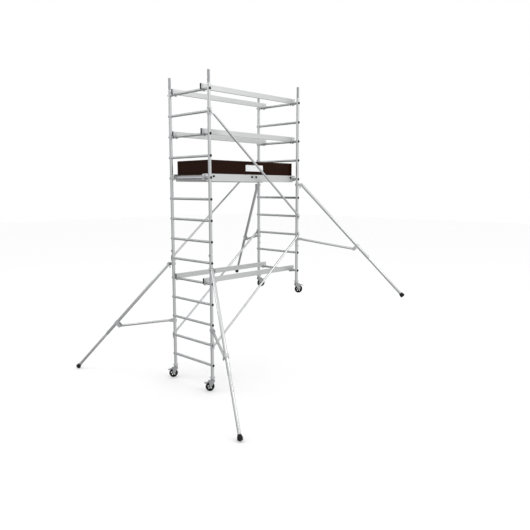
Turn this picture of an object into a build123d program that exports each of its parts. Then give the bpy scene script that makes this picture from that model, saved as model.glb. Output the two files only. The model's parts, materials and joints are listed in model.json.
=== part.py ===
from build123d import *
import os
from math import atan2, cos, degrees, hypot, sin

# Mobile aluminium stairway tower: two ladder frames of unequal height stand on castors, one on the
# lower floor and one on a landing. Braces, guard rails, a platform and four outriggers join them.
# Millimetres. +Z is up, X runs from the low end to the high end, and Y from the front to the rear.
# The origin is on the lower floor, under the middle of the tower.

# Tower grid
rung_pitch = 280.0
frame_width = 820.0            # between post centres, across the tower
bay_length = 1733.0            # between post centres, along the tower
first_rung = 352.0             # lowest rung above its own floor
rung_count = 14
skipped_rungs = 4              # rungs that the high end does without
joint_rung = 6                 # the frames are joined above this rung
post_over_rung = 72.0          # post left standing above the last rung of a frame
post_bottom = 176.0            # lower end of a post above its own floor

# Ladder frames
post_r = 22.0
post_wall = 3.5
rung_r = 17.0
rung_wall = 2.6
flute_count = 16
flute_r = 1.2
tenon_r = 14.0                 # necked end of a rung, which passes through the post
tenon_wall = 2.5
tenon_grip = 24.0
tenon_out = 2.0
swage_length = 6.0
plug_head_r = 17.5
plug_head = 4.5
plug_stem = 15.0
weld_gap = 0.05                # between pieces that are welded or expanded together
seat_gap = 0.2                 # between pieces that are pushed together

# Spigots and their locks
spigot_wall = 3.0
spigot_up = 158.0
spigot_down = 52.0
spigot_relief = 1.0            # groove round a spigot, just outside its post
spigot_relief_depth = 0.4
lock_height = 35.0             # lock pin above the shoulder
lock_pin_r = 4.5
lock_head_r = 9.0
lock_stand = 6.0

# Castors
wheel_r = 62.5
tyre_width = 32.0
tyre_depth = 15.0
tyre_round = 6.0
rim_flange = 5.0
hub_r = 13.0
hub_width = 37.0
web = 9.0
axle_r = 6.0
nut_r = 10.0
nut_height = 6.0
running_gap = 0.06
trail = 36.0                   # axle behind the swivel axis
castor_turn = -25.0            # how far the castors stand turned on their swivels
fork_gap = 40.0
fork_plate = 4.0
crown_z = 140.0
crown_plate = 5.0
crown_front = 28.0
crown_back = 54.0
swivel_r = 26.0
swivel_top = 165.4
stem_flange_over = 2.0         # stem flange beyond the post
king_r = 8.0
king_nut_r = 12.0
king_nut = 6.0
stem_grip = 110.0
collar_wall = 5.5
collar_height = 18.0
collar_lug_r = 36.0
collar_lug = 13.0
pedal_pivot_back = 44.0
pedal_pivot_z = 132.0
pedal_barrel_r = 6.5
pedal_pin_r = 3.0
pedal_reach = 70.0
pedal_plate = 4.0
pedal_slope = 15.0
pedal_arm = 34.0
pedal_tread = 46.0
pedal_side_gap = 1.5
tread_ribs = 3
tread_rib = 4.0
tread_rib_pitch = 9.0
tread_rib_inset = 6.0
fork_pin_out = 2.0
fork_shoulder = 8.0            # depth of the fork plates before they narrow
axle_boss = 13.8
wheel_holes = 5
wheel_hole_r = 9.0
stem_gap = 0.618               # between the swivel cup and the stem's flange

# Guard rails
rail_levels = (5, 12, 14)
rail_inboard = 109.0           # rail centre inside the post centres
rail_height = 70.0
rail_width = 24.0
rail_wall = 2.0
rail_corner = 3.0
rail_overhang = 42.0
rail_cap = 4.0
claw_plate = 4.0
claw_r = 36.0
claw_tab = 52.0
claw_tab_half = 24.0
claw_pin_r = 4.0
claw_pin_gap = 2.0
claw_pin_drop = 18.5
claw_rivet_r = 5.0
claw_rivet_rise = 37.5
hook_gap = 0.35

# Braces: (side, rung at the low end, rung at the high end)
braces = ((-1, 13, 8), (-1, 2, 7), (1, 6, 11), (1, 2, 7))
brace_r = 15.0
brace_wall = 2.0
brace_neck = 52.0
neck_plug = 8.0                # solid plug in the tube at its neck, each way
tongue = 8.0
tongue_half = 13.0
brace_rivet_r = 5.0
jaw_height = 13.0
jaw_reach = 42.0               # outer edge of a jaw above and below the rung
jaw_wall = 12.0
claw_back = 6.0
claw_back_gap = 1.5            # claw back to the rung's plug
eye_gap = 0.5                  # claw back to the brace's flat eye
brace_rivet_head = 4.0

# Platform
platform_rung = 10
platform_inboard = 75.0        # outer face of the platform inside the post centres
side_rail_over = 53.0          # top of the side rail above the rung centre
side_rail_height = 100.0
side_rail_width = 30.0
side_rail_wall = 2.5
side_rail_corner = 3.0
side_rail_short = 32.0         # end of the side rail before the rung centre
end_cross_rails = (61.5, 132.5, 68.5)    # from the post centres: two at the low end, one at the high
middle_cross_rails = (-23.0, 59.0, 430.0)
cross_width = 30.0
cross_height = 60.0
cross_wall = 2.0
cross_drop = 15.0              # top of the cross rails under the top of the side rails
deck_thickness = 12.0
deck_gap = 1.0
hook_tongue = 60.0
hook_out = 42.0
hook_prong = 28.0
hook_lip = 1.0                 # inner wall of the mouth, beyond the rung
hook_round = 26.0
bolt_head_r = 12.0
bolt_head = 4.0
bolt_over = 20.0               # bolt above the rung centre
hatch_gap = 3.0
hatch_lift = 0.5
hatch_front_gap = 5.0          # hatch to the front side rail
hatch_rear_gap = 22.0
hinge_gap = 13.0               # hinge pin to the rear side rail
hinge_r = 6.0
hinge_pin_r = 3.0
hinge_spots = (-620.0, -140.0)
hinge_length = 90.0
leaf = 2.0
leaf_reach = 45.0
knuckle_gap = 1.0
leaf_screw_r = 3.0
leaf_screw_height = 3.2
leaf_screw_in = 31.5
pull_length = 90.0
pull_width = 30.0
lock_plate = 4.0
lock_arm_clear = 11.0          # latch arm behind the rung
lock_arm_over = 10.0
lock_foot_clear = 9.0          # latch foot under the rung
lock_foot_out = 6.0
lock_bar = 10.0

# Toe boards
board_height = 182.0
board_thickness = 20.0
board_edge = 2.0               # rounding of the boards' edges
board_short = 60.5             # ends of the toe boards before the post centres
board_end_overhang = 17.0
clip_width = 50.0
clip_plate = 3.0
clip_up = 60.0
clip_spots = (-560.0, 560.0)
corner_leg = 45.0
corner_height = 70.0
corner_lift = 50.0

# Outriggers
foot_dx = 810.0
foot_dy = 1400.0
upper_clamp = 1670.0           # above the outrigger's own floor
lower_clamp = 842.0
clamp_out = 70.0               # pivot outside the post centre
clamp_gap = 0.35
clamp_wall = 8.6
clamp_half = 18.0
cheek = 5.0
cheek_clear = 2.5              # cheek to the leg
clamp_bolt_out = 37.0
clamp_bolt_r = 5.0
clamp_nut_r = 9.0
pivot_bolt_r = 6.0
bolt_end_r = 10.0
bolt_end = 4.0
spacer_gap = 1.0               # spacer on the pivot bolt to the tube
leg_r = 22.5
leg_wall = 2.4
leg_start = -12.0
outer_leg = 1500.0
leg_overlap = 380.0
inner_leg_gap = 0.3
inner_leg_wall = 2.2
foot_wall = 13.2
foot_top_wall = 5.2
foot_length = 60.0
foot_base = 14.0
foot_round = 6.0
collar_z = 758.0               # where the strut's coupler holds the leg
collar_half = 24.0
coupler_out = 68.0
strut_r = 17.5
strut_wall = 2.2
strut_end = 14.0
knob_r = 11.0
knob_length = 14.0
lever_length = 58.0
lever_width = 15.0
lever_thickness = 11.0
lever_tip_r = 6.75
button_r = 5.0
button_length = 6.0
button_inset = 30.0

# Derived places
half_x = bay_length / 2
half_y = frame_width / 2
landing = skipped_rungs * rung_pitch
post_bore = post_r - post_wall
spigot_r = post_bore - seat_gap
collar_r = post_r + collar_wall
stem_flange_r = post_r + stem_flange_over
lock_arm_back = rung_r + lock_arm_clear
lock_foot_drop = rung_r + lock_foot_clear
plug_end = post_r + tenon_out + plug_head
brace_offset = plug_end + claw_back_gap + claw_back + eye_gap + tongue / 2
platform_width = frame_width - 2 * platform_inboard
board_half_length = half_x - board_short
inner_leg_r = leg_r - leg_wall - inner_leg_gap
foot_r = inner_leg_r + foot_wall
foot_top_r = inner_leg_r + foot_top_wall
cheek_gap = leg_r + cheek_clear


def level(rung):
    return first_rung + (rung - 1) * rung_pitch


joint_z = level(joint_rung) + post_over_rung
top_z = level(rung_count) + post_over_rung
platform_z = level(platform_rung)
side_rail_top = platform_z + side_rail_over
cross_top = side_rail_top - cross_drop
deck_half_y = platform_width / 2 - side_rail_width
hatch_front = deck_half_y - hatch_front_gap
hatch_rear = deck_half_y - hatch_rear_gap
hinge_y = deck_half_y - hinge_gap
cross_rails = (
    -half_x + end_cross_rails[0],
    -half_x + end_cross_rails[1],
    *middle_cross_rails,
    half_x - end_cross_rails[2],
)
low_rungs = range(1, rung_count + 1)
high_rungs = range(1 + skipped_rungs, rung_count + 1)
corners = {
    "low_front": (-1, -1, 0.0),
    "low_rear": (-1, 1, 0.0),
    "high_front": (1, -1, landing),
    "high_rear": (1, 1, landing),
}


# Shapes used by several pieces

def rod(radius, start, end):
    base = Vector(*start)
    axis = Vector(*end) - base
    return extrude(Plane(origin=base, z_dir=axis) * Circle(radius), axis.length)


def tube(radius, wall, start, end):
    return rod(radius, start, end) - rod(radius - wall, start, end)


def block(low, high):
    size = [top - bottom for bottom, top in zip(low, high)]
    middle = [(top + bottom) / 2 for bottom, top in zip(low, high)]
    return Pos(*middle) * Box(*size)


def side_plate(outline, y_low, y_high):
    """Outline in X and Z, filled from y_low to y_high."""
    face = Plane(origin=(0, y_high, 0), x_dir=(1, 0, 0), z_dir=(0, -1, 0)) * outline
    return extrude(face, y_high - y_low, dir=(0, -1, 0))


def box_tube(low, high, wall, axis, corner=0.0):
    """Rectangular tube with rounded corners, open at both ends along the axis numbered 0 to 2."""
    inner_low = [value if i == axis else value + wall for i, value in enumerate(low)]
    inner_high = [value if i == axis else value - wall for i, value in enumerate(high)]
    outside = block(low, high)
    if corner:
        outside = fillet(outside.edges().filter_by((Axis.X, Axis.Y, Axis.Z)[axis]), corner)
    return outside - block(inner_low, inner_high)


def write(name, pieces):
    solids = [solid for piece in pieces for solid in piece.solids()]
    export_step(Compound(solids), f"parts/{name}.step")


def corner_places():
    for name, (side_x, side_y, floor) in corners.items():
        yield name, side_x, side_y, floor


# Ladder frames

def upright(bottom, top, rungs, locked):
    """A post on the Z axis, drilled for its rungs and for the lock of the frame below it."""
    post = tube(post_r, post_wall, (0, 0, bottom), (0, 0, top))
    for number in rungs:
        z = level(number)
        post -= rod(tenon_r + weld_gap, (0, -2 * post_r, z), (0, 2 * post_r, z))
    if locked:
        z = joint_z + lock_height
        post -= rod(lock_pin_r + seat_gap, (-2 * post_r, 0, z), (2 * post_r, 0, z))
    return post


def rung():
    """A fluted tube along Y, coped to the posts, with necked ends that pass through them."""
    flutes = PolarLocations(rung_r, flute_count) * Circle(flute_r)
    profile = Circle(rung_r) - flutes - Circle(rung_r - rung_wall)
    bar = extrude(Plane.XZ * profile, half_y, both=True)
    for side in (-1, 1):
        axis_y = side * half_y
        bar -= rod(post_r + weld_gap, (0, axis_y, -2 * rung_r), (0, axis_y, 2 * rung_r))
    for side in (-1, 1):
        inner_y = side * (half_y - post_r - tenon_grip)
        outer_y = side * (half_y + post_r + tenon_out)
        swage_y = inner_y + side * swage_length
        bar += tube(tenon_r, tenon_wall, (0, inner_y, 0), (0, outer_y, 0))
        swage_r = rung_r - rung_wall + weld_gap
        bar += tube(swage_r, swage_r - tenon_r + tenon_wall / 2, (0, inner_y, 0), (0, swage_y, 0))
    return bar


def rung_plug(side):
    """A plastic plug in the open end of a rung, outside the post."""
    end_y = side * (half_y + post_r + tenon_out)
    head_y = end_y + side * plug_head
    stem_y = end_y - side * plug_stem
    stem = rod(tenon_r - tenon_wall - seat_gap, (0, stem_y, 0), (0, end_y, 0))
    head = rod(plug_head_r, (0, end_y, 0), (0, head_y, 0))
    rim = head.edges().filter_by(GeomType.CIRCLE).sort_by(Axis.Y)[-1 if side > 0 else 0]
    return fillet(rim, plug_head / 2) + stem


def spigot(shoulder):
    """A sleeve swaged into the top of a post, which the next frame stands over."""
    low, high = shoulder - spigot_down, shoulder + spigot_up
    sleeve = rod(spigot_r, (0, 0, low), (0, 0, high))
    sleeve += rod(post_bore - weld_gap, (0, 0, low), (0, 0, shoulder))
    groove = rod(post_bore, (0, 0, shoulder), (0, 0, shoulder + spigot_relief))
    sleeve -= groove - rod(spigot_r - spigot_relief_depth, (0, 0, low), (0, 0, high))
    sleeve -= rod(spigot_r - spigot_wall, (0, 0, low), (0, 0, high))
    z = shoulder + lock_height
    return sleeve - rod(lock_pin_r + seat_gap, (-2 * post_r, 0, z), (2 * post_r, 0, z))


def spigot_lock(side_x):
    """A headed pin through a joint, put in from the outer side, with a thumb plate."""
    z = joint_z + lock_height
    head_x = side_x * (post_r + lock_stand)
    shank = rod(lock_pin_r, (head_x, 0, z), (-side_x * (post_r + lock_stand / 2), 0, z))
    head = rod(lock_head_r, (head_x, 0, z), (head_x + side_x * lock_stand, 0, z))
    low_x, high_x = sorted((head_x, head_x + side_x * lock_stand / 2))
    thumb = block((low_x, -lock_head_r, z - 2 * lock_head_r), (high_x, lock_head_r, z))
    return shank + head + thumb


def ladder_frames():
    upper = upright(joint_z, top_z, range(joint_rung + 1, rung_count + 1), True)
    lower_low = upright(post_bottom, joint_z, range(1, joint_rung + 1), False)
    first_high = 1 + skipped_rungs
    lower_high = upright(landing + post_bottom, joint_z, range(first_high, joint_rung + 1), False)
    uppers, lowers, sleeves, locks = [], [], [], []
    for _, side_x, side_y, _ in corner_places():
        place = Pos(side_x * half_x, side_y * half_y, 0)
        uppers.append(place * upper)
        lowers.append(place * (lower_low if side_x < 0 else lower_high))
        sleeves += [place * spigot(joint_z), place * spigot(top_z)]
        locks.append(place * spigot_lock(side_x))
    write("upper_uprights", uppers)
    write("lower_uprights", lowers)
    write("spigots", sleeves)
    write("spigot_locks", locks)
    bar = rung()
    plugs = [rung_plug(-1), rung_plug(1)]
    write("rungs_low_end", [Pos(-half_x, 0, level(n)) * bar for n in low_rungs])
    write("rungs_high_end", [Pos(half_x, 0, level(n)) * bar for n in high_rungs])
    ends = [(-half_x, n) for n in low_rungs] + [(half_x, n) for n in high_rungs]
    return [Pos(x, 0, level(n)) * plug for x, n in ends for plug in plugs]


# Castors, built with the swivel axis on Z, their own floor at zero and the wheel trailing to -X

def castor_stem():
    flange_z = swivel_top + stem_gap
    stem = rod(spigot_r, (0, 0, post_bottom), (0, 0, post_bottom + stem_grip))
    stem += rod(stem_flange_r, (0, 0, flange_z), (0, 0, post_bottom))
    king_end = crown_z - king_nut / 2
    stem += rod(king_r, (0, 0, king_end), (0, 0, flange_z))
    return stem + rod(king_nut_r, (0, 0, king_end - king_nut), (0, 0, king_end))


def castor_collar():
    """A lugged ring clamped round the lower end of a post."""
    low, high = post_bottom, post_bottom + collar_height
    ring = rod(collar_r, (0, 0, low), (0, 0, high))
    for turn in range(4):
        lug = block((0, -collar_lug / 2, low), (collar_lug_r, collar_lug / 2, high))
        lug = fillet(lug.edges().filter_by(Axis.Z).sort_by(Axis.X)[-2:], collar_lug / 3)
        ring += Rot(0, 0, 45 + 90 * turn) * lug
    return ring - rod(post_r + seat_gap, (0, 0, low), (0, 0, high))


def castor_fork():
    outer = fork_gap / 2 + fork_plate
    top = crown_z + crown_plate
    shoulder = crown_z - fork_shoulder
    cheek_shape = Polygon(
        (crown_front, top), (crown_front, shoulder), (axle_boss - trail, wheel_r),
        (-axle_boss - trail, wheel_r), (-crown_back, shoulder), (-crown_back, top),
        align=None,
    ) + Pos(-trail, wheel_r) * Circle(axle_boss)
    fork = block((-crown_back, -outer, crown_z), (crown_front, outer, top))
    for low in (-outer, outer - fork_plate):
        fork += side_plate(cheek_shape, low, low + fork_plate)
    fork += rod(swivel_r, (0, 0, top), (0, 0, swivel_top))
    fork -= rod(king_r + running_gap, (0, 0, crown_z), (0, 0, swivel_top))
    fork -= rod(axle_r + weld_gap, (-trail, -outer, wheel_r), (-trail, outer, wheel_r))
    pin_end = outer + fork_pin_out
    return fork + rod(pedal_pin_r, (-pedal_pivot_back, -pin_end, pedal_pivot_z),
                      (-pedal_pivot_back, pin_end, pedal_pivot_z))


def castor_axle():
    outer = fork_gap / 2 + fork_plate
    bolt = rod(axle_r, (-trail, -outer - nut_height, wheel_r), (-trail, outer + nut_height, wheel_r))
    nut = RegularPolygon(nut_r, 6)
    for low in (-outer - nut_height - weld_gap, outer + weld_gap):
        bolt += side_plate(Pos(-trail, wheel_r) * nut, low, low + nut_height)
    return bolt


def castor_rim():
    rim_r = wheel_r - tyre_depth
    half = tyre_width / 2 - 1
    rim = tube(rim_r, rim_flange, (-trail, -half, wheel_r), (-trail, half, wheel_r))
    rim += rod(rim_r - 1, (-trail, -web / 2, wheel_r), (-trail, web / 2, wheel_r))
    rim += rod(hub_r, (-trail, -hub_width / 2, wheel_r), (-trail, hub_width / 2, wheel_r))
    hole_place = Pos(0, 0, (rim_r - rim_flange + hub_r) / 2) * Rot(90, 0, 0)
    for turn in range(wheel_holes):
        hole = Rot(0, 360 / wheel_holes * turn, 0) * hole_place * Cylinder(wheel_hole_r, 2 * web)
        rim -= Pos(-trail, 0, wheel_r) * hole
    return rim - rod(axle_r + running_gap, (-trail, -fork_gap, wheel_r), (-trail, fork_gap, wheel_r))


def castor_tyre():
    half = tyre_width / 2
    band = rod(wheel_r, (-trail, -half, wheel_r), (-trail, half, wheel_r))
    band = fillet(band.edges().filter_by(GeomType.CIRCLE), tyre_round)
    core = wheel_r - tyre_depth + weld_gap
    return band - rod(core, (-trail, -half, wheel_r), (-trail, half, wheel_r))


def brake_pedal():
    """A pedal that hinges between the fork plates, over the wheel."""
    half = fork_gap / 2 - pedal_side_gap
    arm = block((-pedal_reach, -half, -pedal_plate / 2), (0, half, pedal_plate / 2))
    tread_half = pedal_tread / 2
    tread_top = pedal_plate / 2 + pedal_side_gap
    tread = block((-pedal_reach, -tread_half, -pedal_plate / 2), (-pedal_arm, tread_half, tread_top))
    rib_half = tread_half - tread_rib
    for row in range(tread_ribs):
        x = -pedal_reach + tread_rib_inset + tread_rib_pitch * row
        tread += block((x, -rib_half, 0), (x + tread_rib, rib_half, tread_top + pedal_side_gap))
    pedal = Rot(0, -pedal_slope, 0) * (arm + tread)
    pedal += rod(pedal_barrel_r, (0, -half, 0), (0, half, 0))
    pedal -= rod(pedal_pin_r + running_gap, (0, -half, 0), (0, half, 0))
    return Pos(-pedal_pivot_back, 0, pedal_pivot_z) * pedal


def castors():
    stem, collar, fork, axle = castor_stem(), castor_collar(), castor_fork(), castor_axle()
    rim, tyre, pedal = castor_rim(), castor_tyre(), brake_pedal()
    stems = []
    for name, side_x, side_y, floor in corner_places():
        post_foot = Pos(side_x * half_x, side_y * half_y, floor)
        stems += [post_foot * stem, post_foot * collar]
        turn = castor_turn if side_x < 0 else castor_turn + 180
        place = post_foot * Rot(0, 0, turn)
        write(f"castor_{name}_fork", [place * fork, place * axle])
        write(f"castor_{name}_rim", [place * rim])
        write(f"castor_{name}_tyre", [place * tyre])
        write(f"castor_{name}_pedal", [place * pedal])
    write("castor_stems", stems)


# Guard rails

def guard_rail():
    """A box rail along X that lies over both end rungs, notched for them."""
    half = half_x + rail_overhang
    edge = rail_width / 2
    rail = box_tube((-half, -edge, 0), (half, edge, rail_height), rail_wall, 0, rail_corner)
    for x in (-half_x, half_x):
        rail -= rod(rung_r + hook_gap, (x, -rail_width, 0), (x, rail_width, 0))
    return rail


def rail_cap_piece():
    """A cap pushed into the end of a guard rail, at the +X end."""
    half = half_x + rail_overhang
    edge = rail_width / 2
    head = block((half, -edge, 0), (half + rail_cap, edge, rail_height))
    head = fillet(head.edges().group_by(Axis.X)[-1], rail_cap / 3)
    inset = rail_wall + seat_gap
    stem = block((half - 2 * rail_cap, inset - edge, inset), (half, edge - inset, rail_height - inset))
    return head + stem


def rail_claw():
    """Two cheeks on a guard rail that drop over a rung, and the catch pin under it."""
    mouth_r = rung_r + hook_gap
    tab = Pos(0, claw_tab / 2) * Rectangle(2 * claw_tab_half, claw_tab)
    mouth = Circle(mouth_r) + Pos(0, -claw_r / 2) * Rectangle(2 * mouth_r, claw_r)
    outline = Circle(claw_r) + tab - mouth
    inner = rail_width / 2 + seat_gap
    outer = inner + claw_plate
    claw = Part()
    for side in (-1, 1):
        low, high = sorted((side * inner, side * outer))
        claw += side_plate(outline, low, high)
        for x in (-claw_tab_half / 2, claw_tab_half / 2):
            y_head = side * (outer + claw_plate / 2)
            claw += rod(claw_rivet_r, (x, side * inner, claw_rivet_rise), (x, y_head, claw_rivet_rise))
    pin_x = mouth_r + claw_pin_r + claw_pin_gap
    for x in (-pin_x, pin_x):
        claw += rod(claw_pin_r, (x, -outer, -claw_pin_drop), (x, outer, -claw_pin_drop))
    return claw


def guard_rails():
    rail, claw, cap = guard_rail(), rail_claw(), rail_cap_piece()
    rails, claws, caps = [], [], []
    for number in rail_levels:
        for side_y in (-1, 1):
            place = Pos(0, side_y * (half_y - rail_inboard), level(number))
            rails.append(place * rail)
            caps += [place * cap, place * Rot(0, 0, 180) * cap]
            claws += [place * Pos(x, 0, 0) * claw for x in (-half_x, half_x)]
    write("guard_rails", rails)
    write("rail_claws", claws)
    return caps


# Braces

def brace(length):
    """A tube along X between two rivet holes, with flat eyes at its ends."""
    bar = tube(brace_r, brace_wall, (brace_neck, 0, 0), (length - brace_neck, 0, 0))
    for x, inward in ((0, 1), (length, -1)):
        near_x, far_x = (x + inward * (brace_neck + reach) for reach in (-neck_plug, neck_plug))
        bar += rod(brace_r, (near_x, 0, 0), (far_x, 0, 0))
        low_x, high_x = sorted((x, x + inward * brace_neck))
        bar += block((low_x, -tongue / 2, -tongue_half), (high_x, tongue / 2, tongue_half))
        bar += rod(tongue_half, (x, -tongue / 2, 0), (x, tongue / 2, 0))
        bar -= rod(brace_rivet_r + seat_gap, (x, -tongue, 0), (x, tongue, 0))
    return bar


def brace_claw():
    """A casting on the front of a post at a rung: two jaws, a back plate and the rivet."""
    plate_in = plug_end + claw_back_gap
    plate_out = plate_in + claw_back
    claw = block((-tongue_half, -plate_out, -jaw_reach), (tongue_half, -plate_in, jaw_reach))
    for low in (-jaw_reach, jaw_reach - jaw_height):
        jaw = rod(post_r + jaw_wall, (0, 0, low), (0, 0, low + jaw_height))
        jaw += block((-tongue_half, -plate_in, low), (tongue_half, 0, low + jaw_height))
        jaw -= rod(post_r + weld_gap, (0, 0, low), (0, 0, low + jaw_height))
        jaw -= block((-2 * post_r, post_r / 3, low), (2 * post_r, 2 * post_r, low + jaw_height))
        claw += jaw
    boss_out = brace_offset - tongue / 2 - seat_gap
    claw += rod(tongue_half, (0, -boss_out, 0), (0, -plate_in, 0))
    eye_face = -brace_offset - tongue / 2
    head_end = eye_face - brace_rivet_head
    claw += rod(brace_rivet_r, (0, head_end, 0), (0, -plate_in, 0))
    return claw + rod(2 * brace_rivet_r, (0, head_end, 0), (0, eye_face - seat_gap, 0))


def brace_set():
    claw = brace_claw()
    bars, claws = [], []
    for side_y, low_rung, high_rung in braces:
        low_z, high_z = level(low_rung), level(high_rung)
        length = hypot(bay_length, high_z - low_z)
        tilt = -degrees(atan2(high_z - low_z, bay_length))
        y = side_y * (half_y + brace_offset)
        bars.append(Pos(-half_x, y, low_z) * Rot(0, tilt, 0) * brace(length))
        turn = 0 if side_y < 0 else 180
        for x, z in ((-half_x, low_z), (half_x, high_z)):
            claws.append(Pos(x, side_y * half_y, z) * Rot(0, 0, turn) * claw)
    write("brace_tubes", bars)
    write("brace_claws", claws)


# Platform

def side_rail(side_y):
    outer, inner = platform_width / 2, deck_half_y
    low_y, high_y = sorted((side_y * inner, side_y * outer))
    half = half_x - side_rail_short
    bottom = side_rail_top - side_rail_height
    low, high = (-half, low_y, bottom), (half, high_y, side_rail_top)
    return box_tube(low, high, side_rail_wall, 0, side_rail_corner)


def platform_hook(side_x, side_y):
    """A casting in the end of a side rail, with a mouth that drops over the rung."""
    start = half_x - side_rail_short
    low = side_rail_top - side_rail_height
    lip_x = half_x - rung_r - hook_lip
    body = Polygon(
        (start, low), (start, side_rail_top), (half_x + hook_out, side_rail_top),
        (half_x + hook_out, platform_z - hook_prong), (lip_x, platform_z - hook_prong),
        (lip_x, low), align=None,
    )
    mouth_r = rung_r + hook_gap
    mouth = Pos(half_x, platform_z) * Circle(mouth_r)
    mouth += Pos(half_x, platform_z - hook_prong) * Rectangle(2 * mouth_r, 2 * hook_prong)
    inner, outer = deck_half_y, platform_width / 2
    hook = side_plate(body - mouth, inner, outer)
    top_edge = hook.edges().filter_by(Axis.Y).sort_by(Axis.X)[-2:].sort_by(Axis.Z)[-1]
    hook = fillet(top_edge, hook_round)
    inset = side_rail_wall + seat_gap
    hook += block((start - hook_tongue, inner + inset, low + inset),
                  (start + 1, outer - inset, side_rail_top - inset))
    if side_y < 0:
        hook = mirror(hook, about=Plane.XZ)
    return hook if side_x > 0 else mirror(hook, about=Plane.YZ)


def cross_rail(x):
    low = (x - cross_width / 2, -deck_half_y, cross_top - cross_height)
    high = (x + cross_width / 2, deck_half_y, cross_top)
    return box_tube(low, high, cross_wall, 1)


def hatch_ends():
    """Edges of the hatchway in X: the middles of the two cross rails beside it."""
    return cross_rails[1], cross_rails[2]


def deck():
    half = half_x - side_rail_short - deck_gap
    low_x, high_x = hatch_ends()
    edge = deck_half_y - deck_gap
    board = block((-half, -edge, cross_top), (half, edge, cross_top + deck_thickness))
    opening = block((low_x, -2 * edge, cross_top), (high_x, 2 * edge, cross_top + deck_thickness))
    return board - opening


def hatch_panel():
    low_x, high_x = hatch_ends()
    low_z = cross_top + hatch_lift
    panel = block((low_x + hatch_gap, -hatch_front, low_z),
                  (high_x - hatch_gap, hatch_rear, low_z + deck_thickness))
    pull_x = (low_x + high_x) / 2
    pull = Pos(pull_x, -hatch_front + 2 * pull_width, low_z + deck_thickness / 2)
    slot = SlotOverall(pull_length, pull_width)
    return panel - pull * extrude(slot, deck_thickness, both=True)


def hinge_knuckle(x, length, radius):
    z = hinge_z()
    return rod(radius, (x - length / 2, hinge_y, z), (x + length / 2, hinge_y, z))


def hinge_z():
    return cross_top + hatch_lift + deck_thickness + hinge_r / 2


def hinge_base(x):
    """Outer knuckles and pin of one hinge, on a foot against the side rail."""
    knuckle = hinge_length / 3
    base = hinge_knuckle(x, hinge_length, hinge_pin_r)
    for shift in (-knuckle, knuckle):
        base += hinge_knuckle(x + shift, knuckle - knuckle_gap, hinge_r)
        half = (knuckle - knuckle_gap) / 2
        base += block((x + shift - half, hinge_y, hinge_z() - hinge_r),
                      (x + shift + half, deck_half_y, hinge_z() - hinge_r / 3))
    return base


def hinge_leaf(x):
    """Middle knuckle of one hinge, on a leaf screwed to the top of the hatch."""
    knuckle = hinge_length / 3
    top = cross_top + hatch_lift + deck_thickness
    piece = hinge_knuckle(x, knuckle - knuckle_gap, hinge_r)
    half = (knuckle - knuckle_gap) / 2
    piece += block((x - half, hinge_y - leaf_reach, top), (x + half, hinge_y, top + leaf))
    screw_y = hinge_y - leaf_screw_in
    for screw_x in (x - half / 2, x + half / 2):
        piece += rod(leaf_screw_r, (screw_x, screw_y, top), (screw_x, screw_y, top + leaf_screw_height))
    return piece - hinge_knuckle(x, knuckle, hinge_pin_r + running_gap)


def platform_bolt(x, side_y):
    y, z = side_y * platform_width / 2, platform_z + bolt_over
    head = rod(bolt_head_r, (x, y, z), (x, y + side_y * bolt_head, z))
    rim = head.edges().filter_by(GeomType.CIRCLE).sort_by(Axis.Y)[-1 if side_y > 0 else 0]
    return fillet(rim, bolt_head / 2)


def wind_lock(side_x, side_y):
    """A latch that hangs beside a hook and keeps the rung in its mouth."""
    x, z = half_x, platform_z
    half = lock_bar / 2
    pivot = (x - lock_arm_back, z + lock_arm_over)
    foot_z = z - lock_foot_drop
    low = platform_width / 2 + clamp_gap
    high = low + lock_plate
    latch = side_plate(Pos(*pivot) * Circle(lock_bar), low, high)
    latch += block((pivot[0] - half, low, foot_z), (pivot[0] + half, high, pivot[1]))
    latch += block((pivot[0] - half, low, foot_z - half), (x + lock_foot_out, high, foot_z + half))
    if side_y < 0:
        latch = mirror(latch, about=Plane.XZ)
    return latch if side_x > 0 else mirror(latch, about=Plane.YZ)


def platform():
    write("platform_side_rails", [side_rail(-1), side_rail(1)])
    write("platform_cross_rails", [cross_rail(x) for x in cross_rails])
    write("platform_hooks", [platform_hook(x, y) for x in (-1, 1) for y in (-1, 1)])
    write("platform_deck", [deck()])
    write("hatch_panel", [hatch_panel()])
    write("hatch_hinge_bases", [hinge_base(x) for x in hinge_spots])
    write("hatch_hinge_leaves", [hinge_leaf(x) for x in hinge_spots])
    bolted = (cross_rails[1], cross_rails[2], cross_rails[3], cross_rails[5])
    write("platform_bolts", [platform_bolt(x, side) for x in bolted for side in (-1, 1)])
    write("wind_lock_front", [wind_lock(-1, -1)])
    write("wind_lock_rear", [wind_lock(1, 1)])


# Toe boards

def toe_board(low, high):
    board = block(low, high)
    return fillet(board.edges(), board_edge)


def toe_boards():
    outer = platform_width / 2
    top = side_rail_top + board_height
    reach = board_half_length - board_thickness
    boards = []
    for side in (-1, 1):
        low_y, high_y = sorted((side * (outer - board_thickness), side * outer))
        boards.append(toe_board((-reach, low_y, side_rail_top), (reach, high_y, top)))
        low_x, high_x = sorted((side * reach, side * board_half_length))
        end_y = outer + board_end_overhang
        boards.append(toe_board((low_x, -end_y, side_rail_top), (high_x, end_y, top)))
    write("toe_boards", boards)


def toe_clip(x, side_y):
    """An angle on the side rail that holds up the toe board from behind."""
    face = platform_width / 2 - board_thickness
    low_x, high_x = x - clip_width / 2, x + clip_width / 2
    clip = block((low_x, face - clip_plate, side_rail_top), (high_x, face, side_rail_top + clip_up))
    clip += block((low_x, deck_half_y, side_rail_top), (high_x, face, side_rail_top + clip_plate))
    return mirror(clip, about=Plane.XZ) if side_y < 0 else clip


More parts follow.
